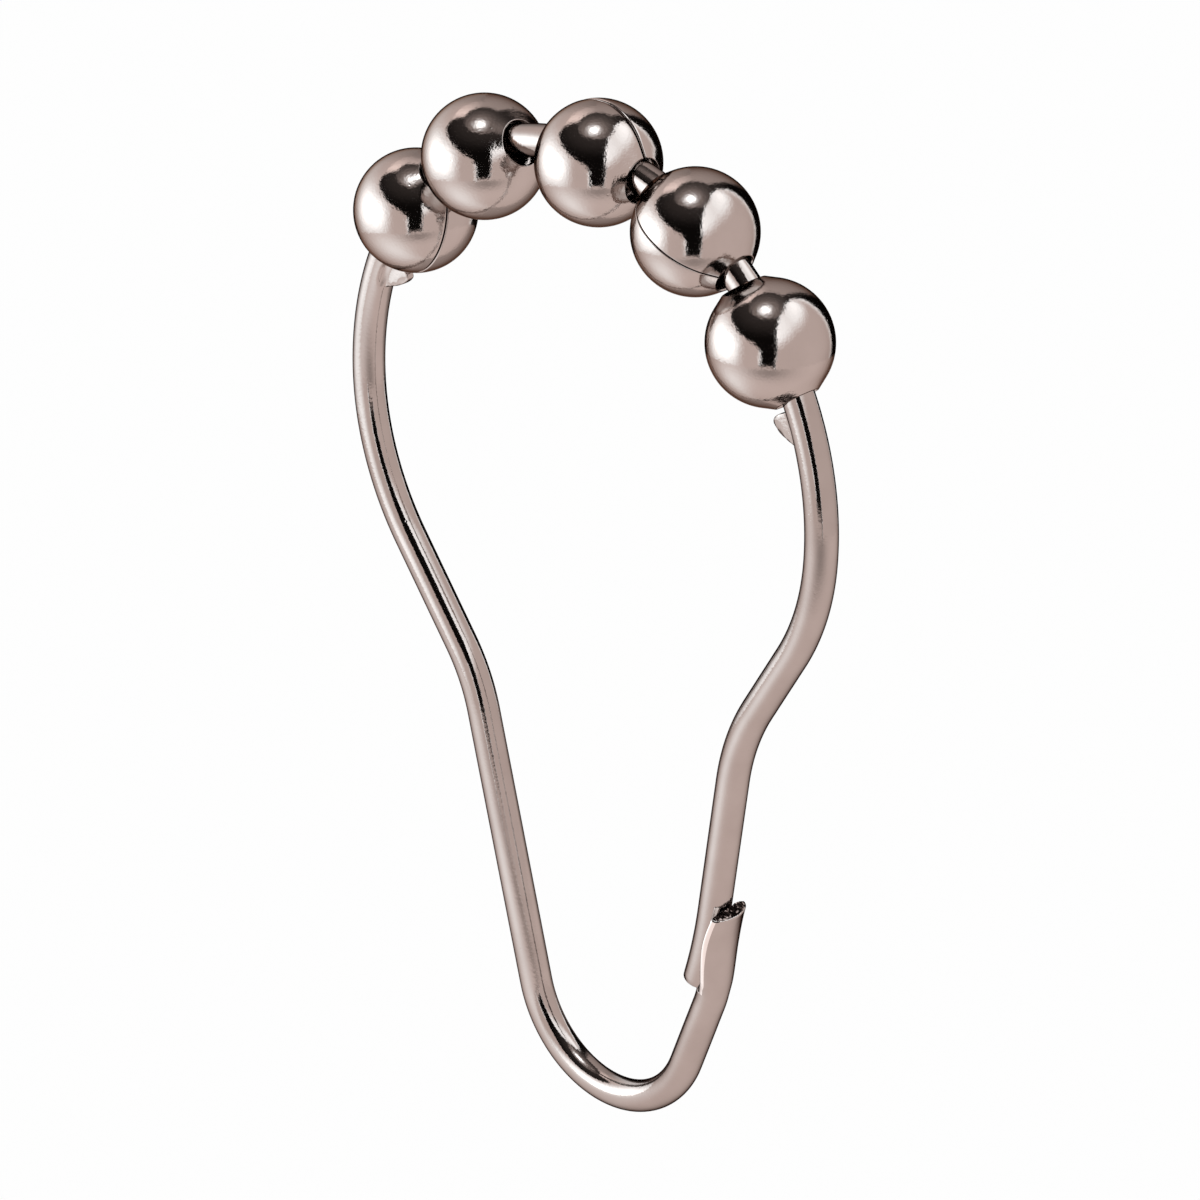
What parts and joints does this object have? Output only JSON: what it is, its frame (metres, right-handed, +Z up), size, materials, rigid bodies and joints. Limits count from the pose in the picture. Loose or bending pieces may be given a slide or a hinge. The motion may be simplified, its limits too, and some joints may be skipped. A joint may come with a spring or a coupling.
{
  "type": "shower curtain ring",
  "caption": "Bent-wire shower curtain ring with hollow roller balls on its arch, waisted legs and a cupped catch that holds the free leg's tip.",
  "frame": {"origin": "centre of the arch, on the line of the curtain rod that the ring hangs on", "axes": "+Z up, towards the top of the arch; +Y along the curtain rod, across the ring's flat plane; +X in the ring's plane, towards the side with the catch"},
  "size_m": [0.0476, 0.009, 0.0781],
  "materials": {
    "wire": "polished nickel plate on steel wire",
    "balls": "polished nickel plate on formed sheet steel"
  },
  "bodies": {
    "wire_ring": {"wire_ring": "wire"},
    "roller_ball_1": {"roller_ball_1": "balls"},
    "roller_ball_2": {"roller_ball_2": "balls"},
    "roller_ball_3": {"roller_ball_3": "balls"},
    "roller_ball_4": {"roller_ball_4": "balls"},
    "roller_ball_5": {"roller_ball_5": "balls"}
  },
  "joints": [
    {"name": "roller_ball_1_spin", "type": "hinge", "parent": "wire_ring", "child": "roller_ball_1", "pos_m": [-0.01688, 0, 0.01411], "axis": [0.6415, 0, 0.7671], "continuous": true},
    {"name": "roller_ball_2_spin", "type": "hinge", "parent": "wire_ring", "child": "roller_ball_2", "pos_m": [-0.00954, 0, 0.01983], "axis": [0.9012, 0, 0.4335], "continuous": true},
    {"name": "roller_ball_3_spin", "type": "hinge", "parent": "wire_ring", "child": "roller_ball_3", "pos_m": [0.00192, 0, 0.02192], "axis": [0.9962, 0, -0.0875], "continuous": true},
    {"name": "roller_ball_4_spin", "type": "hinge", "parent": "wire_ring", "child": "roller_ball_4", "pos_m": [0.01116, 0, 0.01896], "axis": [0.8617, 0, -0.5074], "continuous": true},
    {"name": "roller_ball_5_spin", "type": "hinge", "parent": "wire_ring", "child": "roller_ball_5", "pos_m": [0.01809, 0, 0.01253], "axis": [0.5694, 0, -0.8221], "continuous": true}
  ]
}
